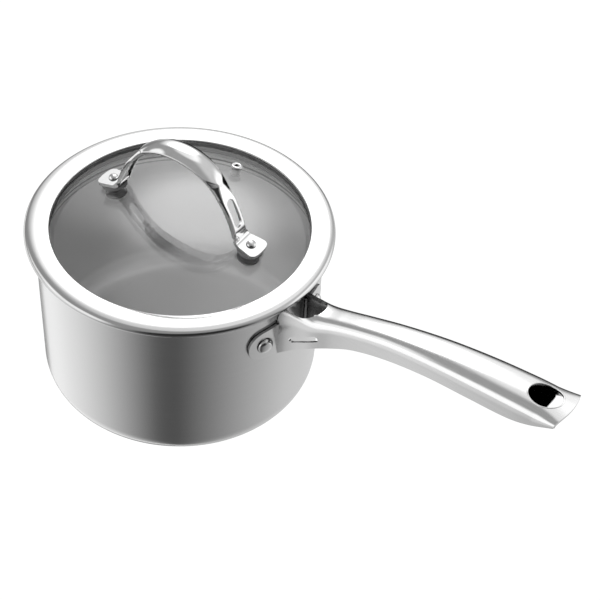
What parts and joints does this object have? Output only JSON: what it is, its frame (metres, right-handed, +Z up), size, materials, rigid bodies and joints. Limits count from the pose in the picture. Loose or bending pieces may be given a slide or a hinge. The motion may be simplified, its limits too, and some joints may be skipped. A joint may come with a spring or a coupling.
{
  "type": "saucepan with lid",
  "caption": "Small clad steel saucepan with a long arched hollow handle and a domed glass lid in a broad steel rim.",
  "frame": {"origin": "centre of the flat base, on the surface the pan stands on", "axes": "+Z up along the pan's axis, +X out along the long handle, +Y to the handle's left"},
  "size_m": [0.3289, 0.171, 0.1588],
  "materials": {
    "polished_steel": "mirror polished",
    "satin_steel": "circular satin grain",
    "aluminium_core": "rolled",
    "glass": "clear tempered",
    "silicone": "matt translucent grey"
  },
  "bodies": {
    "pan": {"pan_outer_shell": "polished_steel", "pan_core": "aluminium_core", "pan_inner_shell": "satin_steel", "handle_upper_shell": "polished_steel", "handle_lower_shell": "polished_steel", "handle_rivet_left": "polished_steel", "handle_rivet_right": "polished_steel"},
    "lid": {"lid_glass": "glass", "lid_rim": "polished_steel", "lid_seal": "silicone", "lid_vent": "polished_steel", "lid_handle_outer": "polished_steel", "lid_handle_inner": "polished_steel", "lid_foot_pad_front": "silicone", "lid_rivet_front": "polished_steel", "lid_gasket_front": "silicone", "lid_washer_front": "satin_steel", "lid_foot_pad_back": "silicone", "lid_rivet_back": "polished_steel", "lid_gasket_back": "silicone", "lid_washer_back": "satin_steel"}
  },
  "joints": [
    {"name": "lid_lift", "type": "slide", "parent": "pan", "child": "lid", "axis": [0, 0, 1], "range_m": [0, 0.12]}
  ]
}
